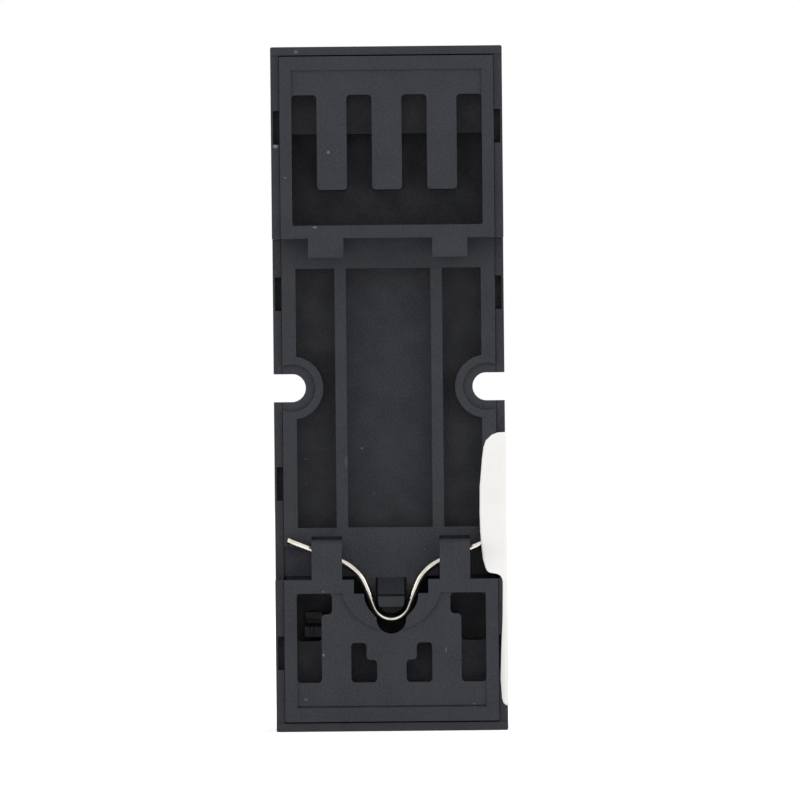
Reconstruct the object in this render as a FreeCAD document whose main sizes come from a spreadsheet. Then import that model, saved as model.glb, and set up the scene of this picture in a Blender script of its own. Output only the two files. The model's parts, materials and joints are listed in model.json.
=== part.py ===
import FreeCAD, Part
import math
import os
import re
import Sketcher

# Plug-in relay socket with fourteen screw terminals, for a 35 mm rail. Millimetres.
# X across, Z up along the socket, Y from the back (the rail side, at low Y) to the front.
# Heights are measured from the bottom end, depths from the back plane towards the front.

SIZES = [
    ("body_width", 26.3, "overall width"),
    ("body_height", 77.75, "overall height"),
    ("body_depth", 31.0, "back plane to the inner terminal tiers"),
    ("outer_tier_depth", 19.5, "back plane to the outer terminal tiers"),
    ("platform_depth", 24.0, "back plane to the relay's seat"),
    ("top_outer_length", 12.0, "upper outer tier, along the socket"),
    ("top_inner_length", 11.5, "upper inner tier"),
    ("bottom_outer_length", 11.0, "lower outer tier"),
    ("bottom_inner_length", 9.0, "lower inner tier"),
    ("side_wall", 0.95, "housing side wall"),
    ("end_wall", 0.95, "housing end wall"),
    ("shell_gap", 0.05, "fit between base and housing"),
    ("end_gap", 0.15, "the same at both ends"),
    ("wall_setback", 0.5, "side wall edge below the base's back face"),
    ("lip_setback", 0.25, "end wall edge below the base's back face"),
    ("rail_wall_setback", 0.6, "side wall edge below the rail seat"),
    ("edge_round", 0.2, "radius of the housing's side edges"),
    ("end_seam_depth", 5.2, "where base and housing meet at both ends"),
    ("rail_low", 17.2, "lower edge of the rail slot"),
    ("rail_high", 56.0, "upper edge of the rail slot"),
    ("seat_depth", 5.0, "rail seat below the back face"),
    ("floor_wall", 0.9, "base wall in front of the pockets"),
    ("pocket_low", 23.1, "lower edge of the pockets"),
    ("pocket_high", 52.6, "upper edge of the pockets"),
    ("pocket_edge", 10.55, "outer edge of the side pockets"),
    ("rib_inner", 4.82, "seat rib, inner edge"),
    ("rib_outer", 6.12, "seat rib, outer edge"),
    ("corner_pocket_depth", 0.8, "hollow beside each tab, below the seat"),
    ("corner_pocket_high", 21.0, "upper edge of that hollow"),
    ("foot_groove", 0.4, "gap at the foot of the lower block and above each tab"),
    ("hook_inner", 5.05, "upper hook, inner edge"),
    ("hook_outer", 9.05, "upper hook, outer edge"),
    ("hook_length", 2.2, "upper hook, over the rail"),
    ("hook_thickness", 3.0, "upper hook"),
    ("hook_chamfer", 1.0, "lead-in at the hook's tip"),
    ("tab_inner", 5.55, "lower tab, inner edge"),
    ("tab_outer", 9.0, "lower tab, outer edge"),
    ("tab_length", 4.5, "lower tab, over the rail"),
    ("tab_thickness", 3.4, "lower tab"),
    ("tab_bevel", 0.3, "bevel at the tab's tip"),
    ("notch_height", 39.05, "centre of the screw notches"),
    ("notch_width", 3.2, "screw notch, for M3"),
    ("notch_reach", 3.65, "screw notch, from the side"),
    ("notch_boss", 3.6, "boss radius round the notch"),
    ("notch_step", 1.1, "width of the sunk ring round the notch"),
    ("notch_step_depth", 0.5, "depth of that ring"),
    ("notch_head", 6.2, "seat for the screw's head, diameter"),
    ("notch_head_depth", 1.0, "depth of that seat"),
    ("terminal_pitch", 6.25, "between terminals"),
    ("slot_width", 2.86, "comb slot in the upper block"),
    ("comb_low", 57.45, "lower edge of the comb window"),
    ("comb_ledge", 67.9, "where the comb slots get shallow"),
    ("comb_high", 72.27, "upper end of the comb slots"),
    ("tooth_end", 61.5, "lower end of the comb teeth"),
    ("panel_high", 75.1, "upper edge of the upper panel"),
    ("panel_low", 2.7, "lower edge of the lower panel"),
    ("panel_top", 15.7, "upper edge of the lower panel"),
    ("panel_half", 10.73, "half width of the lower panel"),
    ("panel_step", 0.25, "panels below the back face"),
    ("panel_groove", 0.2, "groove along the lower panel's edge, width and extra depth"),
    ("ledge_depth", 4.3, "shallow floor of the windows"),
    ("deep_depth", 8.0, "deep floor of the windows"),
    ("seam_wall", 0.8, "base wall past the deep floors"),
    ("corner_radius", 0.45, "moulded corner radius"),
    ("window_low", 5.55, "lower edge of the lower windows"),
    ("window_ledge", 10.2, "where the outer windows get shallow"),
    ("window_step", 13.3, "where the outer windows get wide"),
    ("window_high", 15.65, "upper edge of the outer windows"),
    ("window_narrow", 7.93, "outer window, inner edge below"),
    ("window_wide", 6.72, "outer window, inner edge above"),
    ("inner_window_outer", 4.6, "inner window, outer edge"),
    ("inner_window_upper", 2.85, "inner window, inner edge above"),
    ("inner_window_lower", 1.67, "inner window, inner edge below"),
    ("inner_window_step", 8.1, "where the inner windows get narrow"),
    ("inner_window_high", 10.05, "upper edge of the inner windows"),
    ("cavity_half", 4.23, "spring cavity, half width at the top"),
    ("cavity_shelf", 15.6, "where the cavity gets round"),
    ("cavity_radius", 3.1, "round part of the cavity"),
    ("cavity_rise", 1.35, "cavity above the rail slot's lower edge"),
    ("collar_radius", 5.8, "raised collar round the cavity"),
    ("tongue_high", 18.8, "upper end of the tongue under the post"),
    ("loop_relief", 1.7, "round relief below the loop"),
    ("loop_relief_height", 12.75, "its centre"),
    ("post_half", 1.5, "spring post, half width"),
    ("post_low", 13.3, "lower end of the post"),
    ("post_step", 15.5, "between the post's head and its ramp"),
    ("post_high", 17.4, "upper end of the post's ramp"),
    ("post_face_depth", 1.6, "post head below the back face"),
    ("post_ramp_depth", 2.6, "highest point of the ramp"),
    ("post_lead", 0.8, "lead-in below the post's head"),
    ("post_groove", 0.25, "groove between head and ramp"),
    ("post_groove_depth", 3.0, "floor of that groove"),
    ("post_slit", 0.25, "slit beside the post"),
    ("post_slit_depth", 6.0, "floor of those slits"),
    ("wire_diameter", 0.8, "rail spring wire"),
    ("wire_play", 0.15, "between the wire loop and the post"),
    ("loop_height", 14.7, "centre of the wire loop"),
    ("loop_room", 0.05, "round the outside of the loop"),
    ("leg_angle", 21.6, "spring leg from upright, degrees"),
    ("arm_angle", 22.0, "spring arm from level, degrees"),
    ("bend_radius", 5.3, "bend between leg and arm"),
    ("tip_reach", 11.75, "spring tip from the middle"),
    ("tip_height", 21.72, "spring tip"),
    ("saddle_width", 0.8, "saddle under the wire"),
    ("snap_length", 3.8, "snap window"),
    ("snap_reach", 0.7, "snap window, into the side wall"),
    ("snap_play", 0.15, "snap nose inside its window"),
    ("snap_nose_depth", 1.4, "snap nose, along the depth"),
    ("snap_upper", 68.6, "middle of the snap windows, from the top one down"),
    ("snap_high", 49.75, ""),
    ("snap_low", 28.15, ""),
    ("snap_lower", 8.95, ""),
    ("outer_inset", 6.2, "outer screws from each end"),
    ("top_inner_inset", 5.75, "upper inner screws from their tier's end"),
    ("bottom_inner_inset", 4.5, "lower inner screws from their tier's end"),
    ("front_wall", 0.9, "wall over the screw heads"),
    ("driver_hole", 3.8, "hole for the screwdriver"),
    ("head_diameter", 4.4, "screw head"),
    ("head_height", 1.6, "screw head"),
    ("head_play", 0.15, "round the head"),
    ("axial_play", 0.1, "above the head and under the tip"),
    ("shank_diameter", 2.9, "screw shank"),
    ("thread_play", 0.06, "between shank and cage"),
    ("slot_depth", 0.8, "screw slot"),
    ("slot_breadth", 0.75, "screw slot"),
    ("slot_length", 3.4, "screw slot"),
    ("bar_depth", 8.6, "tier face to the contact bar"),
    ("strip_thickness", 0.8, "contact strip"),
    ("bar_width", 3.2, "contact bar in the cage"),
    ("bar_overhang", 2.9, "bar past the screw"),
    ("strip_width", 2.6, "contact strip"),
    ("channel_play", 0.25, "beside a strip in its channel"),
    ("cage_head_depth", 5.4, "tier face to the open cage"),
    ("cage_top_wall", 1.2, "cage wall that holds the thread"),
    ("cage_bottom_wall", 1.0, "cage wall that holds the wire"),
    ("cage_side_wall", 0.7, "cage side"),
    ("cage_height", 7.6, "cage, along the screw"),
    ("cage_width", 4.9, "cage, across"),
    ("cage_length", 4.5, "cage, along the socket"),
    ("cage_play", 0.15, "cage in its shaft"),
    ("cage_travel", 2.5, "cage, open to clamped"),
    ("entry_width", 3.6, "wire entry"),
    ("entry_height", 2.6, "wire entry"),
    ("relay_height", 37.0, "middle of the relay's seat"),
    ("blade_pitch", 4.4, "between the relay's blades"),
    ("nc_row", 10.0, "blade rows from the middle of the relay"),
    ("no_row", 5.5, ""),
    ("com_row", -3.5, ""),
    ("coil_row", -9.5, ""),
    ("blade_slot_width", 3.0, "blade slot"),
    ("blade_slot_height", 1.1, "blade slot"),
    ("bay_rib", 0.8, "wall between contact bays"),
    ("bay_low", 21.5, "contact bays"),
    ("bay_high", 52.5, "contact bays"),
    ("hall_length", 3.4, "open hall at each end of the bays"),
    ("bay_wall", 1.1, "outer wall of the bays"),
    ("notch_wall", 1.1, "wall round the screw notch"),
    ("clip_width", 2.6, "relay clip"),
    ("clip_half", 1.2, "relay clip, half its outer size"),
    ("clip_leaf", 0.4, "relay clip, leaf"),
    ("clip_pinch", 0.2, "half the gap where the leaves grip"),
    ("clip_length", 6.6, "relay clip, along the depth"),
    ("clip_gap", 0.8, "platform to the clip's free end"),
    ("label_thickness", 0.12, "side label"),
    ("label_low", 2.8, "lower end of the label"),
    ("label_high", 33.8, "upper end of the label"),
    ("label_depth", 14.0, "label's front edge"),
    ("label_flap", 2.9, "label folded over the rail seat"),
    ("label_strip", 0.8, "label folded over the lower block"),
    ("label_radius", 1.5, "label's corner"),
    ("label_ramp", 25.5, "where the flap comes down to the rail seat"),
]
NAMES = {name for name, _, _ in SIZES}

# Each overall size with its real value, and the sizes that grow and shrink with it.
FOLLOWERS = [
    ("body_width", 26.3, """
        terminal_pitch slot_width pocket_edge rib_inner rib_outer hook_inner hook_outer tab_inner tab_outer
        panel_half window_narrow window_wide inner_window_outer inner_window_upper inner_window_lower
        notch_reach notch_wall tip_reach cage_width cage_side_wall bar_width strip_width clip_width
        blade_pitch blade_slot_width entry_width head_diameter shank_diameter driver_hole slot_length
        slot_breadth"""),
    ("body_height", 77.75, """
        top_outer_length top_inner_length bottom_outer_length bottom_inner_length rail_low rail_high
        pocket_low pocket_high corner_pocket_high tab_length notch_height comb_low comb_ledge comb_high
        tooth_end panel_high panel_low panel_top window_low window_ledge window_step window_high
        inner_window_step inner_window_high cavity_shelf tongue_high loop_relief_height post_low post_step
        post_high loop_height tip_height snap_upper snap_high snap_low snap_lower outer_inset
        top_inner_inset bottom_inner_inset relay_height nc_row no_row com_row coil_row bay_low bay_high
        hall_length label_low label_high label_ramp"""),
    ("body_depth", 31.0, """
        outer_tier_depth platform_depth deep_depth bar_depth strip_thickness cage_head_depth
        cage_top_wall cage_bottom_wall cage_height cage_travel entry_height clip_length head_height"""),
]
LEADER = {name: (overall, real) for overall, real, names in FOLLOWERS for name in names.split()}

# Places and sizes that follow from the ones above.
HALF = "(body_width / 2)"
SHELL_HALF = "(body_width / 2 - side_wall)"
BASE_HALF = "(body_width / 2 - side_wall - shell_gap)"
SHELL_TOP = "(body_height - end_wall)"
BASE_LOW = "(end_wall + end_gap)"
BASE_TOP = "(body_height - end_wall - end_gap)"
PANEL_HALF = "(1.5 * terminal_pitch + slot_width / 2)"
FLOOR_DEPTH = "(outer_tier_depth - bar_depth - strip_thickness)"
STRIP_FRONT = "(outer_tier_depth - bar_depth)"
INNER_STRIP_FRONT = "(body_depth - bar_depth)"
POCKET_FLOOR = f"({FLOOR_DEPTH} - floor_wall)"
TOP_STEP = "(body_height - top_outer_length)"
PLATFORM_TOP = "(body_height - top_outer_length - top_inner_length)"
PLATFORM_LOW = "(bottom_outer_length + bottom_inner_length)"
LOWER_SEAM = "(window_ledge - seam_wall)"
UPPER_SEAM = "(comb_ledge + seam_wall)"
NOTCH_X = "(body_width / 2 - notch_reach + notch_width / 2)"
SHAFT_X = "(cage_width / 2 + cage_play)"
SHAFT_Z = "(cage_length / 2 + cage_play)"
SHAFT_END = "(cage_head_depth - cage_travel - axial_play)"
HEAD_BORE = "(head_diameter / 2 + head_play)"
ENTRY_REAR = "(bar_depth + strip_thickness + axial_play + entry_height)"
POST_CENTRE = "(post_low + post_half)"
LOOP_RADIUS = "(post_half + wire_play + wire_diameter / 2)"
WIRE_DEPTH = "(tab_thickness + wire_diameter / 2)"
END_SNAPS = ("snap_upper", "snap_lower")
RAIL_SNAPS = ("snap_high", "snap_low")

# Each family of terminals: its tier's face, its screws' height, its relay row, its columns and which way its
# strips run along the socket.
OUTER_COLUMNS = (-1.5, 1.5)
ALL_COLUMNS = (-1.5, -0.5, 0.5, 1.5)
TERMINALS = {
    "no": ("outer_tier_depth", "(body_height - outer_inset)", "no_row", ALL_COLUMNS, -1),
    "nc": ("body_depth", f"({TOP_STEP} - top_inner_inset)", "nc_row", ALL_COLUMNS, -1),
    "com": ("outer_tier_depth", "outer_inset", "com_row", ALL_COLUMNS, 1),
    "coil": ("body_depth", "(bottom_outer_length + bottom_inner_inset)", "coil_row", OUTER_COLUMNS, 1),
}
OVERRUN = "1"

document = FreeCAD.newDocument("relay_socket")
sheet = document.addObject("Spreadsheet::Sheet", "Sizes")


def fill_sheet():
    """Writes the driving dimensions, one row each."""
    for row, (name, number, note) in enumerate(SIZES, start=1):
        overall, real = LEADER.get(name, (None, None))
        sheet.set(f"A{row}", note or name)
        sheet.set(f"B{row}", f"={overall} * {number} / {real}" if overall else str(number))
        sheet.setAlias(f"B{row}", name)
    document.recompute()


def bound(text):
    """The expression with each size's name led by its sheet."""
    return re.sub(r"[A-Za-z_]+", lambda m: f"Sizes.{m[0]}" if m[0] in NAMES else m[0], str(text))


def value(text):
    """What an expression comes to now."""
    found = sheet.evalExpression(bound(text))
    return float(getattr(found, "Value", found))


def new_body(name):
    """A body whose own Y is 0 at the back plane."""
    body = document.addObject("PartDesign::Body", name)
    body.Label = name
    body.setExpression("Placement.Base.y", bound("-body_depth / 2"))
    return body


def sketch_on(body, name, role, offset="0"):
    """A sketch on one of the body's origin planes, moved along the axis that it faces."""
    sketch = body.newObject("Sketcher::SketchObject", name)
    plane = next(f for f in body.Origin.OriginFeatures if f.Role == role)
    sketch.AttachmentSupport = [(plane, "")]
    sketch.MapMode = "FlatFace"
    facing = "-1" if role == "XZ_Plane" else "1"
    sketch.setExpression("AttachmentOffset.Base.z", bound(f"{facing} * ({offset})"))
    return sketch


def constrain(sketch, constraints):
    """Adds constraints, each with the expression that drives it, or None."""
    first = sketch.ConstraintCount
    sketch.addConstraint([made for made, _ in constraints])
    for index, (_, driver) in enumerate(constraints, start=first):
        if driver is not None:
            sketch.setExpression(f"Constraints[{index}]", bound(driver))


def place(geometry, point, x, y):
    """Constraints that put a point at two expressions."""
    return [
        (Sketcher.Constraint("DistanceX", -1, 1, geometry, point, value(x)), x),
        (Sketcher.Constraint("DistanceY", -1, 1, geometry, point, value(y)), y),
    ]


def polygon(sketch, corners):
    """A closed outline with sharp corners, each at a pair of expressions."""
    points = [FreeCAD.Vector(value(x), value(y), 0) for x, y in corners]
    count = len(points)
    first = sketch.GeometryCount
    sketch.addGeometry([Part.LineSegment(points[i], points[(i + 1) % count]) for i in range(count)])
    rules = []
    for i, (x, y) in enumerate(corners):
        rules.append((Sketcher.Constraint("Coincident", first + i - 1 if i else first + count - 1, 2,
                                          first + i, 1), None))
        rules += place(first + i, 1, x, y)
    constrain(sketch, rules)


def rectangle(sketch, low_x, low_y, high_x, high_y):
    """A rectangle between two corners."""
    polygon(sketch, [(low_x, low_y), (high_x, low_y), (high_x, high_y), (low_x, high_y)])


def circle(sketch, x, y, radius):
    """A circle round a point."""
    centre = FreeCAD.Vector(value(x), value(y), 0)
    index = sketch.addGeometry(Part.Circle(centre, FreeCAD.Vector(0, 0, 1), value(radius)))
    rules = place(index, 3, x, y)
    rules.append((Sketcher.Constraint("Radius", index, value(radius)), radius))
    constrain(sketch, rules)


def rounded(sketch, corners, radius):
    """A closed outline whose sides are level or upright in turn, with every corner rounded."""
    size = value(radius)
    points = [FreeCAD.Vector(value(x), value(y), 0) for x, y in corners]
    count = len(points)
    sides = [(points[(i + 1) % count] - points[i]).normalize() for i in range(count)]
    first = sketch.GeometryCount
    lines = []
    arcs = []
    for i in range(count):
        start = points[i] + sides[i] * size
        end = points[(i + 1) % count] - sides[i] * size
        lines.append(Part.LineSegment(start, end))
        before = sides[i - 1]
        centre = points[i] - before * size + sides[i] * size
        enter = points[i] - before * size
        leave = start
        middle = centre + (points[i] - centre).normalize() * size
        arcs.append(Part.Arc(enter, middle, leave))
    sketch.addGeometry(lines + arcs)
    rules = []
    for i, (x, y) in enumerate(corners):
        line = first + i
        arc = first + count + i
        upright = abs(sides[i].x) < 0.5
        rules.append((Sketcher.Constraint("Vertical" if upright else "Horizontal", line), None))
        if upright:
            rules.append((Sketcher.Constraint("DistanceX", -1, 1, line, 1, value(x)), x))
        else:
            rules.append((Sketcher.Constraint("DistanceY", -1, 1, line, 1, value(y)), y))
        turns_left = sides[i - 1].cross(sides[i]).z > 0
        enter, leave = (1, 2) if turns_left else (2, 1)
        last = first + (i - 1) % count
        rules.append((Sketcher.Constraint("Tangent", last, 2, arc, enter), None))
        rules.append((Sketcher.Constraint("Tangent", line, 1, arc, leave), None))
        rules.append((Sketcher.Constraint("Radius", arc, size), radius))
    constrain(sketch, rules)


def feature(body, kind, name, sketch, length, reverse=False, both_ways=False):
    """A pad or pocket of a sketch."""
    made = body.newObject(f"PartDesign::{kind}", name)
    made.Profile = sketch
    made.Reversed = reverse
    if both_ways:
        made.SideType = "Symmetric"
    made.setExpression("Length", bound(length))
    sketch.Visibility = False
    return made


def cut(body, name, start, end, draw):
    """Cuts what draw puts in a sketch, from one depth to a deeper one."""
    sketch = sketch_on(body, f"{name}_sketch", "XZ_Plane", start)
    draw(sketch)
    return feature(body, "Pocket", name, sketch, f"({end}) - ({start})")


def add(body, name, start, end, draw):
    """Adds what draw puts in a sketch, from one depth to a deeper one."""
    sketch = sketch_on(body, f"{name}_sketch", "XZ_Plane", start)
    draw(sketch)
    return feature(body, "Pad", name, sketch, f"({end}) - ({start})", reverse=True)


def mirrored_rectangles(sketch, near, low, far, high):
    """The same rectangle on both sides of the middle."""
    rectangle(sketch, near, low, far, high)
    rectangle(sketch, f"-({far})", low, f"-({near})", high)


def column(place_in_row):
    """How far a terminal stands from the middle."""
    return f"({place_in_row} * terminal_pitch)"


def blade_column(place_in_row):
    """How far a relay blade stands from the middle."""
    return f"({place_in_row} * blade_pitch)"


def family(kind):
    """A terminal family's face depth, screw height, blade height, columns and direction."""
    face, height, row, columns, way = TERMINALS[kind]
    return face, height, f"(relay_height + {row})", columns, way


def tier(depth):
    """Every screw place whose tier has this face, as height and column."""
    for kind, (face, height, _, columns, _) in TERMINALS.items():
        if face == depth:
            for place_in_row in columns:
                yield height, column(place_in_row)


def housing_block(body):
    """The stepped outer block, drawn from the side."""
    sketch = sketch_on(body, "side_view", "YZ_Plane")
    polygon(sketch, [
        ("lip_setback", "0"),
        ("outer_tier_depth", "0"),
        ("outer_tier_depth", "bottom_outer_length"),
        ("body_depth", "bottom_outer_length"),
        ("body_depth", PLATFORM_LOW),
        ("platform_depth", PLATFORM_LOW),
        ("platform_depth", PLATFORM_TOP),
        ("body_depth", PLATFORM_TOP),
        ("body_depth", TOP_STEP),
        ("outer_tier_depth", TOP_STEP),
        ("outer_tier_depth", "body_height"),
        ("lip_setback", "body_height"),
    ])
    feature(body, "Pad", "block", sketch, "body_width", both_ways=True)


def housing_edges(body):
    """Rounds the block's side edges, all but those round its open back."""
    document.recompute()
    half = value(HALF)
    back = value("lip_setback")
    names = []
    for number, edge in enumerate(body.Tip.Shape.Edges, start=1):
        box = edge.BoundBox
        on_side = box.XLength < 0.001 and abs(abs(box.XMin) - half) < 0.001
        if on_side and box.YMax > back + 0.001:
            names.append(f"Edge{number}")
    block = body.Tip
    rounding = body.newObject("PartDesign::Fillet", "side_edges")
    rounding.Base = (block, names)
    rounding.setExpression("Radius", bound("edge_round"))
    block.Visibility = False


def housing_back(body):
    """Opens the back for the base and sets the walls' edges below its faces."""
    cut(body, "base_recess", "0", "end_seam_depth", lambda s: rectangle(
        s, f"-{SHELL_HALF}", "end_wall", SHELL_HALF, SHELL_TOP))
    cut(body, "base_middle", "end_seam_depth", STRIP_FRONT, lambda s: rectangle(
        s, f"-{SHELL_HALF}", LOWER_SEAM, SHELL_HALF, UPPER_SEAM))
    reach = f"{HALF} + {OVERRUN}"
    cut(body, "wall_edges", "0", "wall_setback", lambda s: rectangle(
        s, f"-({reach})", "end_wall", reach, SHELL_TOP))
    cut(body, "rail_slot", "0", "seat_depth + rail_wall_setback", lambda s: rectangle(
        s, f"-({reach})", "rail_low", reach, "rail_high"))


def contact_bay(sketch, side):
    """One outer contact bay, stepped round the screw notch."""
    rib = "(blade_pitch + bay_rib / 2)"
    wall = f"({HALF} - bay_wall)"
    boss = f"({HALF} - notch_reach - notch_wall)"
    low = "(notch_height - notch_width / 2 - notch_wall)"
    high = "(notch_height + notch_width / 2 + notch_wall)"
    bottom = f"min(bay_low + hall_length; {low} - bay_rib)"
    top = f"max(bay_high - hall_length; {high} + bay_rib)"
    corners = [
        (rib, bottom), (wall, bottom), (wall, low), (boss, low),
        (boss, high), (wall, high), (wall, top), (rib, top),
    ]
    polygon(sketch, [(f"{side} * {x}", z) for x, z in corners])


def housing_bays(body):
    """The hollow under the relay's seat: two halls, four bays and the strips' channels."""
    def bays(sketch):
        contact_bay(sketch, -1)
        contact_bay(sketch, 1)
        mirrored_rectangles(sketch, "bay_rib / 2", "(bay_low + hall_length)",
                            "(blade_pitch - bay_rib / 2)", "(bay_high - hall_length)")

    def halls(sketch):
        wall = f"({HALF} - bay_wall)"
        rectangle(sketch, f"-{wall}", "bay_low", wall, "(bay_low + hall_length)")
        rectangle(sketch, f"-{wall}", "(bay_high - hall_length)", wall, "bay_high")

    def channels(sketch, ends):
        wide = "(bar_width / 2 + channel_play)"
        for kind, end in ends.items():
            _, height, _, columns, way = family(kind)
            low, high = (end, height) if way < 0 else (height, end)
            for place_in_row in columns:
                middle = column(place_in_row)
                rectangle(sketch, f"{middle} - {wide}", low, f"{middle} + {wide}", high)

    cut(body, "bays", STRIP_FRONT, INNER_STRIP_FRONT, bays)
    cut(body, "halls", STRIP_FRONT, INNER_STRIP_FRONT, halls)
    cut(body, "inner_channels", STRIP_FRONT, INNER_STRIP_FRONT,
        lambda s: channels(s, {"nc": "bay_high", "coil": "bay_low"}))
    cut(body, "outer_channels", "end_seam_depth", STRIP_FRONT,
        lambda s: channels(s, {"no": UPPER_SEAM, "com": LOWER_SEAM}))


def housing_shafts(body):
    """A shaft, a head bore and a driver hole for every terminal."""
    for name, face, start in (("inner", "body_depth", STRIP_FRONT),
                              ("outer", "outer_tier_depth", "end_seam_depth")):
        def shafts(sketch):
            for height, middle in tier(face):
                rectangle(sketch, f"{middle} - {SHAFT_X}", f"{height} - {SHAFT_Z}",
                          f"{middle} + {SHAFT_X}", f"{height} + {SHAFT_Z}")

        def bar_ends(sketch):
            wide = "(bar_width / 2 + channel_play)"
            long = "(bar_overhang + channel_play)"
            for height, middle in tier(face):
                rectangle(sketch, f"{middle} - {wide}", f"{height} - {long}",
                          f"{middle} + {wide}", f"{height} + {long}")

        def bores(sketch):
            for height, middle in tier(face):
                circle(sketch, middle, height, HEAD_BORE)

        def holes(sketch):
            for height, middle in tier(face):
                circle(sketch, middle, height, "driver_hole / 2")

        cut(body, f"{name}_shafts", start, f"{face} - {SHAFT_END}", shafts)
        cut(body, f"{name}_bar_ends", start, f"{face} - bar_depth", bar_ends)
        cut(body, f"{name}_head_bores", f"{face} - {SHAFT_END}", f"{face} - front_wall", bores)
        cut(body, f"{name}_driver_holes", f"{face} - front_wall", f"{face} + {OVERRUN}", holes)


def housing_entries(body):
    """The wire entries, in both ends and in both steps."""
    for kind in TERMINALS:
        face, height, _, columns, way = family(kind)
        ends = {"no": "body_height", "nc": TOP_STEP, "com": "0", "coil": "bottom_outer_length"}
        sketch = sketch_on(body, f"{kind}_entry_sketch", "XY_Plane", ends[kind])
        front = f"{face} - bar_depth - strip_thickness - axial_play"
        for place_in_row in columns:
            middle = column(place_in_row)
            rectangle(sketch, f"{middle} - entry_width / 2", f"{face} - {ENTRY_REAR}",
                      f"{middle} + entry_width / 2", front)
        length = f"{ends[kind]} - {height}" if way < 0 else f"{height} - {ends[kind]}"
        feature(body, "Pocket", f"{kind}_entries", sketch, length, reverse=way > 0)


def housing_blade_slots(body):
    """A slot through the relay's seat for every blade."""
    def slots(sketch):
        for kind in TERMINALS:
            _, _, row, columns, _ = family(kind)
            for place_in_row in columns:
                middle = blade_column(place_in_row)
                rectangle(sketch, f"{middle} - blade_slot_width / 2", f"{row} - blade_slot_height / 2",
                          f"{middle} + blade_slot_width / 2", f"{row} + blade_slot_height / 2")

    cut(body, "blade_slots", INNER_STRIP_FRONT, f"platform_depth + {OVERRUN}", slots)


def cut_notches(body, start, end):
    """The screw notches at both sides: a round bottom and an open mouth."""
    def bottoms(sketch):
        for side in (-1, 1):
            circle(sketch, f"{side} * {NOTCH_X}", "notch_height", "notch_width / 2")

    def mouths(sketch):
        mirrored_rectangles(sketch, NOTCH_X, "notch_height - notch_width / 2",
                            f"{HALF} + {OVERRUN}", "notch_height + notch_width / 2")

    cut(body, "notch_bottoms", start, end, bottoms)
    cut(body, "notch_mouths", start, end, mouths)


def housing_notches(body):
    """The notches through the housing, with a seat for each screw's head."""
    def seats(sketch):
        for side in (-1, 1):
            circle(sketch, f"{side} * {NOTCH_X}", "notch_height", "notch_head / 2")

    cut_notches(body, "0", f"platform_depth + {OVERRUN}")
    cut(body, "head_seats", "platform_depth - notch_head_depth", f"platform_depth + {OVERRUN}", seats)


def housing_snaps(body):
    """The snap windows in both side walls."""
    def windows(sketch, heights):
        for height in heights:
            mirrored_rectangles(sketch, SHELL_HALF, f"{height} - snap_length / 2",
                                f"{SHELL_HALF} + snap_reach", f"{height} + snap_length / 2")

    cut(body, "end_snaps", "0", "end_seam_depth", lambda s: windows(s, END_SNAPS))
    cut(body, "rail_snaps", "seat_depth", FLOOR_DEPTH, lambda s: windows(s, RAIL_SNAPS))


def make_housing():
    """The front shell."""
    body = new_body("housing")
    housing_block(body)
    housing_edges(body)
    housing_back(body)
    housing_bays(body)
    housing_shafts(body)
    housing_entries(body)
    housing_blade_slots(body)
    housing_notches(body)
    housing_snaps(body)


def base_plate(body):
    """The plate that closes the housing, thinner at both ends."""
    add(body, "plate", "0", "end_seam_depth", lambda s: rectangle(
        s, f"-{BASE_HALF}", BASE_LOW, BASE_HALF, BASE_TOP))
    add(body, "middle", "end_seam_depth", FLOOR_DEPTH, lambda s: rectangle(
        s, f"-{BASE_HALF}", f"{LOWER_SEAM} + shell_gap", BASE_HALF, f"{UPPER_SEAM} - shell_gap"))


def side_pocket(sketch, side):
    """A seat pocket that goes round the boss of the screw notch."""
    reach = "notch_boss"
    edge = "pocket_edge"
    half_chord = f"sqrt({reach} * {reach} - ({NOTCH_X} - {edge}) * ({NOTCH_X} - {edge}))"
    low = f"(notch_height - {half_chord})"
    high = f"(notch_height + {half_chord})"
    corners = [
        (edge, high), (edge, "pocket_high"), ("rib_outer", "pocket_high"),
        ("rib_outer", "pocket_low"), (edge, "pocket_low"), (edge, low),
    ]
    path = [(f"{side} * {x}", z) for x, z in corners]
    points = [FreeCAD.Vector(value(x), value(z), 0) for x, z in path]
    first = sketch.GeometryCount
    lines = [Part.LineSegment(a, b) for a, b in zip(points, points[1:])]
    centre = FreeCAD.Vector(side * value(NOTCH_X), value("notch_height"), 0)
    middle = centre - FreeCAD.Vector(side * value(reach), 0, 0)
    sketch.addGeometry(lines + [Part.Arc(points[-1], middle, points[0])])
    arc = first + len(lines)
    rules = []
    for i, (x, z) in enumerate(path[:-1]):
        rules += place(first + i, 1, x, z)
        if i:
            rules.append((Sketcher.Constraint("Coincident", first + i - 1, 2, first + i, 1), None))
    last = arc - 1
    start, end = (2, 1) if side > 0 else (1, 2)
    rules += place(arc, 3, f"{side} * {NOTCH_X}", "notch_height")
    rules.append((Sketcher.Constraint("Radius", arc, value(reach)), reach))
    rules.append((Sketcher.Constraint("Vertical", last), None))
    rules.append((Sketcher.Constraint("Coincident", last, 2, arc, start), None))
    rules.append((Sketcher.Constraint("Coincident", first, 1, arc, end), None))
    del rules[1]
    constrain(sketch, rules)


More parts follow.
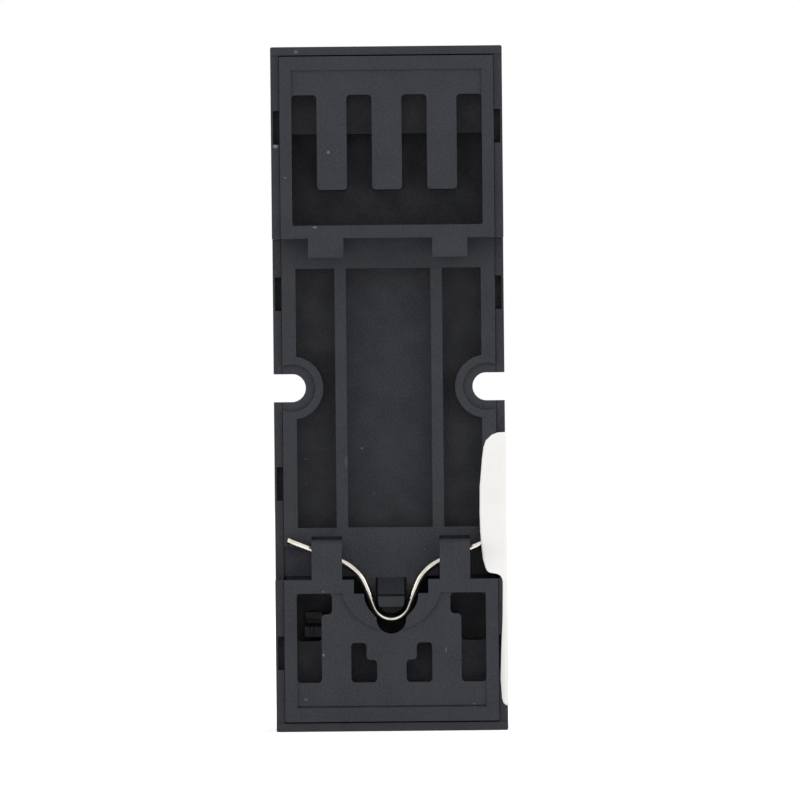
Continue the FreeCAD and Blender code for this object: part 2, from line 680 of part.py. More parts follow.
def base_rail_slot(body):
    """The rail slot with its seat, ribs, pockets and the hollows beside the tabs."""
    cut(body, "rail_slot", "0", "seat_depth", lambda s: rectangle(
        s, f"-({BASE_HALF} + {OVERRUN})", "rail_low", f"{BASE_HALF} + {OVERRUN}", "rail_high"))

    def pockets(sketch):
        rectangle(sketch, "-rib_inner", "pocket_low", "rib_inner", "pocket_high")
        side_pocket(sketch, -1)
        side_pocket(sketch, 1)

    cut(body, "seat_pockets", "seat_depth", POCKET_FLOOR, pockets)
    cut(body, "corner_pockets", "seat_depth", "seat_depth + corner_pocket_depth",
        lambda s: mirrored_rectangles(s, "tab_outer", "rail_low", BASE_HALF, "corner_pocket_high"))
    cut(body, "foot_grooves", "seat_depth", POCKET_FLOOR,
        lambda s: mirrored_rectangles(s, "tab_outer", "rail_low", BASE_HALF, "rail_low + foot_groove"))
    cut(body, "tab_openings", "seat_depth", POCKET_FLOOR, lambda s: mirrored_rectangles(
        s, "tab_inner", "rail_low", "tab_outer", "rail_low + tab_length + foot_groove"))


def base_notches(body):
    """The screw notches and the sunk ring round each."""
    def rings(sketch):
        for side in (-1, 1):
            circle(sketch, f"{side} * {NOTCH_X}", "notch_height", "notch_width / 2 + notch_step")

    cut(body, "notch_rings", "seat_depth", "seat_depth + notch_step_depth", rings)
    cut_notches(body, "0", f"{FLOOR_DEPTH} + {OVERRUN}")


def base_upper_block(body):
    """The sunk panel of the upper block and the comb window in it."""
    cut(body, "upper_panel", "0", "panel_step", lambda s: rectangle(
        s, f"-{PANEL_HALF}", "comb_low", PANEL_HALF, "panel_high"))

    def comb(sketch, top, radius):
        corners = [(f"-{PANEL_HALF}", "comb_low"), (PANEL_HALF, "comb_low")]
        for place_in_row in reversed(ALL_COLUMNS):
            middle = column(place_in_row)
            corners += [(f"({middle} + slot_width / 2)", top), (f"({middle} - slot_width / 2)", top)]
            if place_in_row != ALL_COLUMNS[0]:
                following = column(place_in_row - 1)
                corners += [(f"({middle} - slot_width / 2)", "tooth_end"),
                            (f"({following} + slot_width / 2)", "tooth_end")]
        rounded(sketch, corners, radius)

    cut(body, "comb", "0", "ledge_depth", lambda s: comb(s, "comb_high", "corner_radius"))
    cut(body, "comb_floor", "ledge_depth", "deep_depth", lambda s: comb(s, "comb_ledge", "corner_radius / 3"))


def lower_panel(sketch):
    """The lower block's panel, open round the spring's collar."""
    half = "panel_half"
    chord = "sqrt(collar_radius * collar_radius - (rail_low - panel_top) * (rail_low - panel_top))"
    path = [(chord, "panel_top"), (half, "panel_top"), (half, "panel_low"), (f"-{half}", "panel_low"),
            (f"-{half}", "panel_top"), (f"-{chord}", "panel_top")]
    points = [FreeCAD.Vector(value(x), value(z), 0) for x, z in path]
    first = sketch.GeometryCount
    lines = [Part.LineSegment(a, b) for a, b in zip(points, points[1:])]
    bottom = FreeCAD.Vector(0, value("rail_low - collar_radius"), 0)
    sketch.addGeometry(lines + [Part.Arc(points[-1], bottom, points[0])])
    arc = first + len(lines)
    rules = []
    for i, (x, z) in enumerate(path[1:-1], start=1):
        rules += place(first + i, 1, x, z)
        rules.append((Sketcher.Constraint("Coincident", first + i - 1, 2, first + i, 1), None))
    rules += place(arc, 3, "0", "rail_low")
    rules.append((Sketcher.Constraint("Radius", arc, value("collar_radius")), "collar_radius"))
    rules.append((Sketcher.Constraint("Horizontal", first), None))
    rules.append((Sketcher.Constraint("Horizontal", arc - 1), None))
    rules.append((Sketcher.Constraint("Coincident", arc - 1, 2, arc, 1), None))
    rules.append((Sketcher.Constraint("Coincident", first, 1, arc, 2), None))
    constrain(sketch, rules)


def base_lower_windows(body):
    """The panel of the lower block, its two outer and two inner windows."""
    cut(body, "lower_panel", "0", "panel_step", lower_panel)
    cut(body, "panel_edge", "panel_step", "panel_step + panel_groove", lambda s: rectangle(
        s, "-panel_half", "panel_low", "panel_half", "panel_low + panel_groove"))

    def outer(sketch, low, radius):
        for side in (-1, 1):
            corners = [("window_narrow", low), ("panel_half", low), ("panel_half", "window_high"),
                       ("window_wide", "window_high"), ("window_wide", "window_step"),
                       ("window_narrow", "window_step")]
            rounded(sketch, [(f"{side} * {x}", z) for x, z in corners], radius)

    def inner(sketch):
        for side in (-1, 1):
            corners = [("inner_window_lower", "window_low"), ("inner_window_outer", "window_low"),
                       ("inner_window_outer", "inner_window_high"),
                       ("inner_window_upper", "inner_window_high"),
                       ("inner_window_upper", "inner_window_step"),
                       ("inner_window_lower", "inner_window_step")]
            rounded(sketch, [(f"{side} * {x}", z) for x, z in corners], "corner_radius")

    cut(body, "outer_windows", "0", "ledge_depth", lambda s: outer(s, "window_low", "corner_radius"))
    cut(body, "outer_window_floors", "ledge_depth", "deep_depth",
        lambda s: outer(s, "window_ledge", "corner_radius"))
    cut(body, "inner_windows", "0", "ledge_depth", inner)


def base_spring_cavity(body):
    """The hollow for the rail spring, the tongue over it and the post that holds the loop."""
    def mouth(sketch):
        rectangle(sketch, "-cavity_half", "cavity_shelf", "cavity_half", f"rail_low + cavity_rise")

    cut(body, "cavity_mouth", "0", POCKET_FLOOR, mouth)
    cut(body, "cavity_wings", "seat_depth", POCKET_FLOOR, lambda s: rectangle(
        s, "-tab_inner", "rail_low", "tab_inner", "rail_low + cavity_rise"))
    cut(body, "cavity_round", "0", POCKET_FLOOR, lambda s: circle(
        s, "0", "cavity_shelf", "cavity_radius"))
    cut(body, "cavity_relief", "0", POCKET_FLOOR, lambda s: circle(
        s, "0", "loop_relief_height", "loop_relief"))
    cut(body, "loop_seat", "0", POCKET_FLOOR, lambda s: circle(
        s, "0", "loop_height", f"{LOOP_RADIUS} + wire_diameter / 2 + loop_room"))

    slope = "tan(leg_angle * 1 deg)"
    narrow = "(post_half + post_slit + wire_play)"
    wide = f"({narrow} + {slope} * (tongue_high - {POST_CENTRE}))"
    add(body, "tongue", "seat_depth", POCKET_FLOOR, lambda s: polygon(s, [
        (f"-{narrow}", POST_CENTRE), (narrow, POST_CENTRE), (wide, "tongue_high"), (f"-{wide}", "tongue_high")]))
    cut(body, "post_slits", "seat_depth", "post_slit_depth", lambda s: rectangle(
        s, "-(post_half + post_slit)", "post_low", "post_half + post_slit", "post_high"))

    post = sketch_on(body, "post_sketch", "YZ_Plane")
    polygon(post, [
        (POCKET_FLOOR, "post_low"),
        ("tab_thickness", "post_low"),
        ("post_face_depth", "post_low + post_lead"),
        ("post_face_depth", "post_step - post_groove"),
        ("post_groove_depth", "post_step - post_groove"),
        ("post_groove_depth", "post_step"),
        ("post_ramp_depth", "post_step"),
        ("seat_depth", "post_high"),
        (POCKET_FLOOR, "post_high"),
    ])
    feature(body, "Pad", "post", post, "2 * post_half", both_ways=True)


def base_round_post(body):
    """Rounds the lower end of the post where the wire loop goes round it."""
    def corners(sketch):
        for side in (-1, 1):
            x = value("post_half")
            low = value("post_low")
            points = [FreeCAD.Vector(side * x, low + x, 0), FreeCAD.Vector(side * x, low, 0),
                      FreeCAD.Vector(0, low, 0)]
            first = sketch.GeometryCount
            bulge = FreeCAD.Vector(side * x * math.sin(math.pi / 4), low + x - x * math.cos(math.pi / 4), 0)
            sketch.addGeometry([Part.LineSegment(points[0], points[1]), Part.LineSegment(points[1], points[2]),
                                Part.Arc(points[2], bulge, points[0])])
            start, end = (1, 2) if side > 0 else (2, 1)
            rules = place(first, 1, f"{side} * post_half", POST_CENTRE)
            rules += place(first + 1, 1, f"{side} * post_half", "post_low")
            rules += place(first + 1, 2, "0", "post_low")
            rules.append((Sketcher.Constraint("Coincident", first, 2, first + 1, 1), None))
            rules.append((Sketcher.Constraint("Coincident", first + 1, 2, first + 2, start), None))
            rules.append((Sketcher.Constraint("Coincident", first, 1, first + 2, end), None))
            rules.append((Sketcher.Constraint("Radius", first + 2, x), "post_half"))
            constrain(sketch, rules)

    cut(body, "post_corners", "post_face_depth - 0.5", POCKET_FLOOR, corners)


def base_hooks_and_tabs(body):
    """The two fixed hooks above the rail and the two tabs below it."""
    for side in (-1, 1):
        word = "left" if side < 0 else "right"
        hook = sketch_on(body, f"{word}_hook_sketch", "YZ_Plane",
                         f"{side} * (hook_inner + hook_outer) / 2")
        root = "(rail_high + 0.5)"
        tip = "(rail_high - hook_length)"
        polygon(hook, [
            ("0", root), ("0", f"{tip} + hook_chamfer"), ("hook_chamfer * 0.6", tip),
            ("hook_thickness", tip), ("hook_thickness", root),
        ])
        feature(body, "Pad", f"{word}_hook", hook, "hook_outer - hook_inner", both_ways=True)
        tab = sketch_on(body, f"{word}_tab_sketch", "YZ_Plane", f"{side} * (tab_inner + tab_outer) / 2")
        root = "(rail_low - 0.5)"
        tip = "(rail_low + tab_length)"
        polygon(tab, [
            ("0", root), ("0", f"{tip} - tab_bevel"), ("tab_bevel", tip),
            ("tab_thickness", tip), ("tab_thickness", root),
        ])
        feature(body, "Pad", f"{word}_tab", tab, "tab_outer - tab_inner", both_ways=True)


def arm_height(x):
    """The wire's height on its straight arm, at a distance from the middle."""
    return f"(tip_height - (tip_reach - {x}) * tan(arm_angle * 1 deg))"


def base_saddles(body):
    """A small saddle under each tab that carries the wire's arm."""
    middle = "((tab_inner + tab_outer) / 2)"
    height = arm_height(middle)
    add(body, "saddles", f"{WIRE_DEPTH} + wire_diameter / 2", f"{POCKET_FLOOR} + 0.2",
        lambda s: mirrored_rectangles(s, f"{middle} - saddle_width", f"{height} - saddle_width",
                                      f"{middle} + saddle_width", f"{height} + saddle_width"))


def base_snaps(body):
    """The noses that catch in the housing's snap windows."""
    def noses(sketch, heights):
        half_length = "(snap_length / 2 - snap_play)"
        for height in heights:
            mirrored_rectangles(sketch, f"{BASE_HALF} - 0.5", f"{height} - {half_length}",
                                f"{SHELL_HALF} + snap_reach - snap_play", f"{height} + {half_length}")

    add(body, "end_noses", "end_seam_depth - snap_nose_depth", "end_seam_depth", lambda s: noses(s, END_SNAPS))
    add(body, "rail_noses", f"{FLOOR_DEPTH} - snap_nose_depth", FLOOR_DEPTH, lambda s: noses(s, RAIL_SNAPS))


def make_base():
    """The back carrier with the rail slot."""
    body = new_body("base")
    base_plate(body)
    base_rail_slot(body)
    base_notches(body)
    base_upper_block(body)
    base_lower_windows(body)
    base_spring_cavity(body)
    base_round_post(body)
    base_hooks_and_tabs(body)
    base_saddles(body)
    base_snaps(body)


def half_spring_path(sketch):
    """Half of the rail spring's centre line: loop, leg, bend and arm."""
    leg = math.radians(value("leg_angle"))
    arm = math.radians(value("arm_angle"))
    turn = math.pi / 2 - leg - arm
    radius = value(LOOP_RADIUS)
    centre = FreeCAD.Vector(0, value("loop_height"), 0)
    leg_way = FreeCAD.Vector(math.sin(leg), math.cos(leg), 0)
    arm_way = FreeCAD.Vector(math.cos(arm), math.sin(arm), 0)
    loop_end = centre + FreeCAD.Vector(math.cos(leg), -math.sin(leg), 0) * radius
    tip = FreeCAD.Vector(value("tip_reach"), value("tip_height"), 0)
    across = leg_way.cross(arm_way).z
    run = (tip - loop_end).cross(arm_way).z / across
    corner = loop_end + leg_way * run
    bend = value("bend_radius")
    setback = bend * math.tan(turn / 2)
    bend_start = corner - leg_way * setback
    bend_end = corner + arm_way * setback
    bend_centre = bend_start + FreeCAD.Vector(leg_way.y, -leg_way.x, 0) * bend
    half_way = corner - bend_centre
    bend_middle = bend_centre + half_way.normalize() * bend
    start = centre - FreeCAD.Vector(0, radius, 0)
    swing = (math.pi / 2 - leg) / 2
    loop_middle = centre + FreeCAD.Vector(math.sin(swing), -math.cos(swing), 0) * radius
    loop, leg_line, bend_arc, arm_line = range(4)
    sketch.addGeometry([
        Part.Arc(start, loop_middle, loop_end),
        Part.LineSegment(loop_end, bend_start),
        Part.Arc(bend_start, bend_middle, bend_end),
        Part.LineSegment(bend_end, tip),
    ])
    rules = place(loop, 3, "0", "loop_height")
    rules.append((Sketcher.Constraint("Radius", loop, radius), LOOP_RADIUS))
    rules.append((Sketcher.Constraint("DistanceX", -1, 1, loop, 1, 0.0), "0"))
    rules.append((Sketcher.Constraint("Tangent", loop, 2, leg_line, 1), None))
    rules.append((Sketcher.Constraint("Tangent", leg_line, 2, bend_arc, 2), None))
    rules.append((Sketcher.Constraint("Tangent", bend_arc, 1, arm_line, 1), None))
    rules.append((Sketcher.Constraint("Radius", bend_arc, bend), "bend_radius"))
    rules.append((Sketcher.Constraint("Angle", leg_line, math.pi / 2 - leg), "(90 - leg_angle) * 1 deg"))
    rules.append((Sketcher.Constraint("Angle", arm_line, arm), "arm_angle * 1 deg"))
    rules += place(arm_line, 2, "tip_reach", "tip_height")
    constrain(sketch, rules)


def make_rail_spring():
    """The round wire spring: half is swept, then mirrored."""
    body = new_body("rail_spring")
    path = sketch_on(body, "wire_path", "XZ_Plane", WIRE_DEPTH)
    half_spring_path(path)
    section = sketch_on(body, "wire_section", "YZ_Plane")
    circle(section, WIRE_DEPTH, f"loop_height - {LOOP_RADIUS}", "wire_diameter / 2")
    pipe = body.newObject("PartDesign::AdditivePipe", "half_wire")
    pipe.Profile = section
    pipe.Spine = (path, [])
    document.recompute()
    mirror = body.newObject("PartDesign::Mirrored", "whole_wire")
    mirror.Originals = [pipe]
    plane = next(f for f in body.Origin.OriginFeatures if f.Role == "YZ_Plane")
    mirror.MirrorPlane = (plane, [""])
    body.Tip = mirror


def make_side_label():
    """The sticker on the right side, folded over the back edge and down to the rail seat."""
    body = new_body("side_label")
    strip_back = "(wall_setback - label_thickness)"
    flap_back = "(seat_depth - label_thickness)"
    edge = f"({HALF} - label_flap)"
    outside = sketch_on(body, "outside", "YZ_Plane", HALF)
    polygon(outside, [
        (strip_back, "label_low"), ("label_depth", "label_low"), ("label_depth", "label_high"),
        (flap_back, "label_high"), (flap_back, "label_ramp"), (strip_back, "rail_low"),
    ])
    feature(body, "Pad", "side_sheet", outside, "label_thickness")
    flap = sketch_on(body, "flap_side", "YZ_Plane", edge)
    polygon(flap, [
        ("seat_depth", "label_high"), (flap_back, "label_high"), (flap_back, "label_ramp"),
        (strip_back, "rail_low"), ("wall_setback", "rail_low"), ("seat_depth", "label_ramp"),
    ])
    feature(body, "Pad", "flap", flap, "label_flap + label_thickness")

    def strip(sketch):
        polygon(sketch, [
            (f"{HALF} + label_thickness", "rail_low"),
            (f"{HALF} - label_strip", "rail_low"),
            (f"{HALF} - label_strip / 2", "label_low + label_radius"),
            (HALF, "label_low"),
            (f"{HALF} + label_thickness", "label_low"),
        ])

    def corners(sketch):
        polygon(sketch, [
            (f"{edge} - {OVERRUN}", f"rail_low - {OVERRUN}"), (f"{HALF} - label_strip", f"rail_low - {OVERRUN}"),
            (f"{HALF} - label_strip", "rail_low"), (edge, "rail_low + label_radius"),
            (f"{edge} - {OVERRUN}", "rail_low + label_radius"),
        ])
        polygon(sketch, [
            (f"{edge} + label_radius", "label_high"), (f"{edge} + label_radius", f"label_high + {OVERRUN}"),
            (f"{edge} - {OVERRUN}", f"label_high + {OVERRUN}"), (f"{edge} - {OVERRUN}", "label_high - label_radius"),
            (edge, "label_high - label_radius"),
        ])

    add(body, "strip", strip_back, "wall_setback", strip)
    cut(body, "flap_corners", "0", f"seat_depth + {OVERRUN}", corners)


def terminal_body(name, face, height, middle):
    """A body that stands at a terminal, its own Y 0 on the tier's face."""
    body = document.addObject("PartDesign::Body", name)
    body.Label = name
    body.setExpression("Placement.Base.x", bound(middle))
    body.setExpression("Placement.Base.y", bound(f"{face} - body_depth / 2"))
    body.setExpression("Placement.Base.z", bound(height))
    return body


def make_screw(name, face, height, middle):
    """A captive clamping screw with a cross slot."""
    body = terminal_body(name, face, height, middle)
    half_head = "head_diameter / 2"
    top = "(front_wall + axial_play)"
    neck = f"({top} + head_height)"
    tip = "(bar_depth - axial_play)"
    point = "(shank_diameter / 6)"
    profile = sketch_on(body, "screw_profile", "XY_Plane")
    polygon(profile, [
        ("0", f"-{top}"),
        (f"{half_head} - {point} / 2", f"-{top}"),
        (half_head, f"-({top} + {point} / 2)"),
        (half_head, f"-{neck}"),
        ("shank_diameter / 2", f"-{neck}"),
        ("shank_diameter / 2", f"-({tip} - {point})"),
        (f"shank_diameter / 2 - {point}", f"-{tip}"),
        ("0", f"-{tip}"),
    ])
    turned = body.newObject("PartDesign::Revolution", "turned")
    turned.Profile = profile
    turned.ReferenceAxis = (profile, ["V_Axis"])
    slot = sketch_on(body, "cross_slot", "XZ_Plane", f"-{top}")
    half_length = "slot_length / 2"
    half_breadth = "slot_breadth / 2"
    polygon(slot, [
        (f"-{half_breadth}", f"-{half_length}"), (half_breadth, f"-{half_length}"),
        (half_breadth, f"-{half_breadth}"), (half_length, f"-{half_breadth}"),
        (half_length, half_breadth), (half_breadth, half_breadth),
        (half_breadth, half_length), (f"-{half_breadth}", half_length),
        (f"-{half_breadth}", half_breadth), (f"-({half_length})", half_breadth),
        (f"-({half_length})", f"-{half_breadth}"), (f"-{half_breadth}", f"-{half_breadth}"),
    ])
    feature(body, "Pocket", "slot", slot, "slot_depth", reverse=True)


def make_cage(name, face, height, middle):
    """The clamp cage that rises on its screw."""
    body = terminal_body(name, face, height, middle)
    front = "cage_head_depth"
    rear = "(cage_head_depth + cage_height)"
    ring = sketch_on(body, "ring", "XY_Plane")
    inner = "(cage_width / 2 - cage_side_wall)"
    rectangle(ring, "-cage_width / 2", f"-{rear}", "cage_width / 2", f"-{front}")
    rectangle(ring, f"-{inner}", f"-({rear} - cage_bottom_wall)", inner, f"-({front} + cage_top_wall)")
    feature(body, "Pad", "folded_ring", ring, "cage_length", both_ways=True)
    hole = sketch_on(body, "thread_hole", "XZ_Plane", f"-({front} + cage_top_wall + {OVERRUN})")
    circle(hole, "0", "0", "shank_diameter / 2 + thread_play")
    feature(body, "Pocket", "thread", hole, f"cage_top_wall + 2 * {OVERRUN}")


def clip_outline(sketch, rear, way):
    """The relay clip from the side: two sprung leaves that face each other."""
    front = f"({rear} + clip_length)"
    waist = f"({rear} + 0.62 * clip_length)"
    knee = f"({rear} + 0.3 * clip_length)"
    half = "clip_half"
    inner = "(clip_half - clip_leaf)"
    pinch_out = "(clip_pinch + clip_leaf)"
    right = [(rear, half), (knee, half), (waist, pinch_out), (front, half), (front, inner),
             (waist, "clip_pinch"), (knee, inner), (f"({rear} + clip_leaf)", inner)]
    left = [(y, f"-{z}") for y, z in reversed(right)]
    polygon(sketch, [(y, f"{way} * {z}") for y, z in right + left])


def make_contact(name, kind, face, height, middle, blade_x, blade_z, way):
    """A contact: the bar under the screw, a strip that steps across to its relay blade, and the clip."""
    body = new_body(name)
    front = f"({face} - bar_depth)"
    rear = f"({front} - strip_thickness)"
    inner_tier = face == "body_depth"
    half_bar = "bar_width / 2"
    half_strip = "strip_width / 2"
    bay_end = "bay_high" if way < 0 else "bay_low"
    jog = f"({bay_end} + {way} * channel_play)"
    jog_end = f"({bay_end} + {way} * hall_length)"
    shoulder = f"({bay_end} - {way} * channel_play)"
    far = f"({height} - {way} * bar_overhang)"
    end = f"({blade_z} - {way} * (clip_half - clip_leaf))" if inner_tier else f"({blade_z} + {way} * clip_leaf)"
    plan = sketch_on(body, "strip_plan", "XZ_Plane", rear)
    polygon(plan, [
        (f"{middle} - {half_bar}", far),
        (f"{middle} + {half_bar}", far),
        (f"{middle} + {half_bar}", shoulder),
        (f"{middle} + {half_strip}", jog),
        (f"{blade_x} + {half_strip}", jog_end),
        (f"{blade_x} + {half_strip}", end),
        (f"{blade_x} - {half_strip}", end),
        (f"{blade_x} - {half_strip}", jog_end),
        (f"{middle} - {half_strip}", jog),
        (f"{middle} - {half_bar}", shoulder),
    ])
    feature(body, "Pad", "strip", plan, "strip_thickness", reverse=True)
    clip_rear = f"({INNER_STRIP_FRONT} - clip_gap - clip_length)"
    clip = sketch_on(body, "clip_side", "YZ_Plane", blade_x)
    clip.setExpression("AttachmentOffset.Base.y", bound(blade_z))
    clip_outline(clip, clip_rear, 1)
    feature(body, "Pad", "clip", clip, "clip_width", both_ways=True)
    link = sketch_on(body, "link_side", "YZ_Plane", blade_x)
    link.setExpression("AttachmentOffset.Base.y", bound(blade_z))
    if inner_tier:
        outside = f"{-way} * clip_half"
        inside = f"{-way} * (clip_half - clip_leaf)"
        rectangle(link, f"{clip_rear} + 0.98 * clip_length", inside, front, outside)
    else:
        rectangle(link, rear, "-clip_leaf", f"{clip_rear} + clip_leaf", "clip_leaf")
    feature(body, "Pad", "link", link, "clip_width", both_ways=True)


def make_terminals():
    """A screw, a cage and a contact for every terminal."""
    for kind in TERMINALS:
        face, height, row, columns, way = family(kind)
        for number, place_in_row in enumerate(columns, start=1):
            middle = column(place_in_row)
            make_screw(f"screw_{kind}_{number}", face, height, middle)
            make_cage(f"cage_{kind}_{number}", face, height, middle)
            make_contact(f"contact_{kind}_{number}", kind, face, height, middle,
                         blade_column(place_in_row), row, way)


def check_document():
    """Stops if any object failed, or if a body's shape isn't one sound solid."""
    for item in document.Objects:
        if "Invalid" in item.State or "Error" in item.State:
            raise RuntimeError(f"{item.Label} failed: {item.State}")
    for body in bodies():
        if body.Shape.isNull() or not body.Shape.isValid() or len(body.Shape.Solids) != 1:
            raise RuntimeError(f"{body.Label} is not one sound solid")


def bodies():
    """Every sub-part."""
    return [item for item in document.Objects if item.TypeId == "PartDesign::Body"]


def export():
    """Writes each sub-part to its own file."""
    os.makedirs("parts", exist_ok=True)
    for body in bodies():
        body.Shape.exportStep(f"parts/{body.Label}.step")


fill_sheet()
make_housing()
make_base()
make_rail_spring()
make_side_label()
make_terminals()
document.recompute()
check_document()
export()
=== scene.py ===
import json
import math

import bpy
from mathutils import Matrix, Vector, noise


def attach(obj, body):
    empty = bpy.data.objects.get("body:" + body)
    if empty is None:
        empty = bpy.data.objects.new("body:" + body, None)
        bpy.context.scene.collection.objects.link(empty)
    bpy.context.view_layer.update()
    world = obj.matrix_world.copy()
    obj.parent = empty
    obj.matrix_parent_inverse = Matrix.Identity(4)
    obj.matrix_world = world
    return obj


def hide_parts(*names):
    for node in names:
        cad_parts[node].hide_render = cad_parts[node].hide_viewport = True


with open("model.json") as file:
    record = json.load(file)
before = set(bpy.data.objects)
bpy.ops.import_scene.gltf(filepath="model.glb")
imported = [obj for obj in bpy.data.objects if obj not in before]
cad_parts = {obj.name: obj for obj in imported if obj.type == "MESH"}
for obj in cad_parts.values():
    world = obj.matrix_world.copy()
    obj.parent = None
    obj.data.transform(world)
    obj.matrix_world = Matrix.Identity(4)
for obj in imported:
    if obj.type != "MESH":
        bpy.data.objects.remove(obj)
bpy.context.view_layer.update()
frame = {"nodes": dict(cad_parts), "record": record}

MM = 0.001
HALF_DEPTH = 15.5
ROOT = "socket"

# The photograph: how far the camera is from the back plane, what it sees across, and how it leans.
CAMERA_DISTANCE = 1500.0
VIEW_ACROSS = 90.8
CAMERA_X = 1.22
CAMERA_Z = 37.57
CAMERA_ROLL = 0.56
SENSOR_WIDTH = 36.0

# The rail spring's wire, as in the solids.
WIRE_RADIUS = 0.4
WIRE_DEPTH = 3.8
LOOP_RADIUS = 2.05
LOOP_HEIGHT = 14.7
LEG_ANGLE = 21.6
ARM_ANGLE = 22.0
BEND_RADIUS = 5.3
TIP = (11.75, 21.72)
WIRE_SIDES = 20
ARC_STEPS = 22
WIRE_END_EDGE = 0.06

# The label: its sheet, and the free edge of its fold as height and distance from the middle.
LABEL_THICKNESS = 0.1
LABEL_FRONT = 14.0
LABEL_OUTSIDE = 13.25
SEAT_DEPTH = 5.0
BLOCK_DEPTH = 0.5
RAMP_LOW = 17.2
RAMP_HIGH = 25.5
LABEL_EDGE = [
    (2.8, 12.95), (3.1, 12.62), (3.6, 12.47), (5.8, 12.33), (9.2, 12.44), (12.6, 12.62), (16.0, 12.68),
    (16.9, 12.68), (17.15, 12.62), (17.5, 12.45), (17.7, 12.1), (17.8, 11.6), (17.9, 11.15), (18.1, 10.9),
    (18.5, 10.72), (19.4, 10.46), (21.0, 10.3), (22.5, 10.2), (24.6, 10.16), (27.6, 10.2), (29.2, 10.35),
    (30.8, 10.49), (32.1, 10.67), (32.85, 10.93), (33.5, 11.6), (33.75, 12.25), (33.8, 12.8),
]
LABEL_LENGTH = 31.0
LABEL_ROWS = 110
FOLD_RADIUS = 0.3
LABEL_LIFT = 0.05

# Small blocks deep in the back: the two places across, the depth of the top and the two heights of each.
# They all end at one depth, where the outer windows have their floor.
BLOCK_FLOOR = 8.05
WINDOW_BLOCKS = [
    ((-9.94, -7.8), 5.7, (10.62, 11.9)), ((-9.28, -8.86), 5.3, (10.62, 11.9)),
    ((-9.85, -7.8), 5.8, (12.7, 13.55)), ((-9.75, -7.8), 6.8, (12.2, 12.9)),
]
SNAP_ACROSS = (12.1, 12.92)
SNAP_HALF_LENGTH = 1.87
END_NOSE_DEPTH = 2.2
RAIL_NOSE_DEPTH = 7.3
SNAP_MIDDLES = [
    (68.6, END_NOSE_DEPTH), (49.75, RAIL_NOSE_DEPTH), (28.15, RAIL_NOSE_DEPTH), (8.95, END_NOSE_DEPTH),
]
SNAP_NOSES = [
    (SNAP_ACROSS, top, (middle - SNAP_HALF_LENGTH, middle + SNAP_HALF_LENGTH)) for middle, top in SNAP_MIDDLES
]
SHALLOW_FLOORS = [((5.5, 9.05), 5.7, (21.6, 22.3)), ((9.0, 12.0), 6.3, (17.1, 17.6))]
CAVITY_CORNERS = [((2.7, 5.5), 5.03, (17.55, 18.75))]

# How much the sharp edges of the solids are rounded.
EDGES = {"housing": 0.08, "base": 0.07}
SMALL_EDGE = 0.06

# The studio: the floor's reach in metres and its height in millimetres, just under the object, the even
# light, and the soft lamps, each with its place and size in metres and its power.
FLOOR_REACH = 3.0
FLOOR_HEIGHT = -0.02
FLOOR_GREY = 0.86
FLOOR_GLOW = 0.5
WORLD_STRENGTH = 0.86
LAMPS = [
    ("left", (-0.75, -0.45, 0.3), 0.5, 1.2),
    ("right", (0.75, -0.45, 0.3), 0.5, 1.2),
    ("front", (0.3, 0.7, 0.5), 0.4, 2.0),
]

# Light spots, partly wear and partly painted highlights on edges and corners, each with its place across and
# up, its two sizes and its strength.
HOUSING_WEAR_AND_HIGHLIGHTS = [((-12.64, 66.5), (0.36, 0.26), 0.45), ((-10.2, 77.2), (0.3, 0.22), 0.2)]
BASE_WEAR_AND_HIGHLIGHTS = [
    ((-6.64, 65.76), (0.24, 0.24), 0.22), ((-8.25, 57.26), (0.32, 0.16), 0.25),
    ((-7.74, 8.68), (0.14, 0.2), 0.35), ((-9.78, 3.66), (0.26, 0.2), 0.12),
    ((6.17, 9.14), (0.06, 0.45), 0.2), ((9.3, 3.0), (0.12, 0.12), 0.2),
    ((-3.19, 32.11), (0.11, 0.11), 0.45), ((-1.85, 26.96), (0.08, 0.08), 0.3),
    ((-9.56, 28.06), (0.08, 0.12), 0.2), ((-4.95, 30.6), (0.28, 0.9), 0.05),
]
SPECK_COLOUR = (0.22, 0.22, 0.23)
FLUFF_COLOUR = (0.3, 0.3, 0.31)
# The colour of the light spots: partly wear, partly painted highlight.
WEAR_AND_HIGHLIGHT_COLOUR = (0.42, 0.42, 0.42)


def point(x, depth, height):
    """A place given across, from the back plane and up, in millimetres."""
    return Vector((x, depth - HALF_DEPTH, height)) * MM


def mesh_piece(name, vertices, faces):
    """A mesh object from points in metres and faces."""
    mesh = bpy.data.meshes.new(name)
    mesh.from_pydata(vertices, [], faces)
    mesh.validate()
    mesh.polygons.foreach_set("use_smooth", [True] * len(mesh.polygons))
    piece = bpy.data.objects.new(name, mesh)
    bpy.context.scene.collection.objects.link(piece)
    return piece


